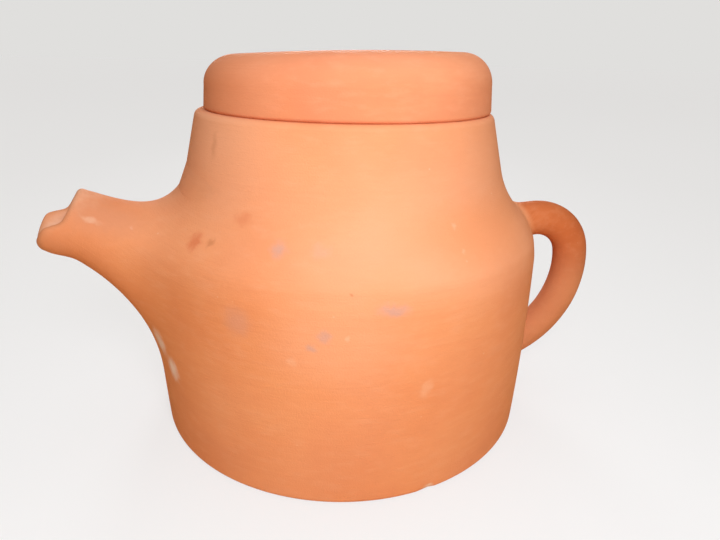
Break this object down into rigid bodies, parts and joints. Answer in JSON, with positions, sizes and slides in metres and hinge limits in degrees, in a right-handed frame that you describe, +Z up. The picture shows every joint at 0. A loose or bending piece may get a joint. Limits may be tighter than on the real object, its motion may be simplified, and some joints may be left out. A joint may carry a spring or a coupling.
{
  "type": "coffee pot",
  "caption": "Squat unglazed earthenware coffee pot with a wide straight body, sloping neck, short flared spout, small loop handle and a thick flat lift-off lid.",
  "frame": {"origin": "middle of the flat foot, on the pot's axis", "axes": "+Z up along the pot's axis, the spout points along -X, the handle is near +X"},
  "size_m": [0.2522, 0.1818, 0.1679],
  "materials": {
    "clay": "matt unglazed terracotta",
    "dark_clay": "matt unglazed terracotta, darker",
    "lid_clay": "matt unglazed terracotta, redder"
  },
  "bodies": {
    "pot": {"body": "clay", "spout": "clay", "spout_coil": "clay", "handle": "dark_clay", "handle_upper_coil": "dark_clay", "handle_lower_coil": "dark_clay"},
    "lid": {"lid": "lid_clay"}
  },
  "joints": [
    {"name": "lid_lift", "type": "slide", "parent": "pot", "child": "lid", "axis": [0, 0, 1], "range_m": [0, 0.06]}
  ]
}
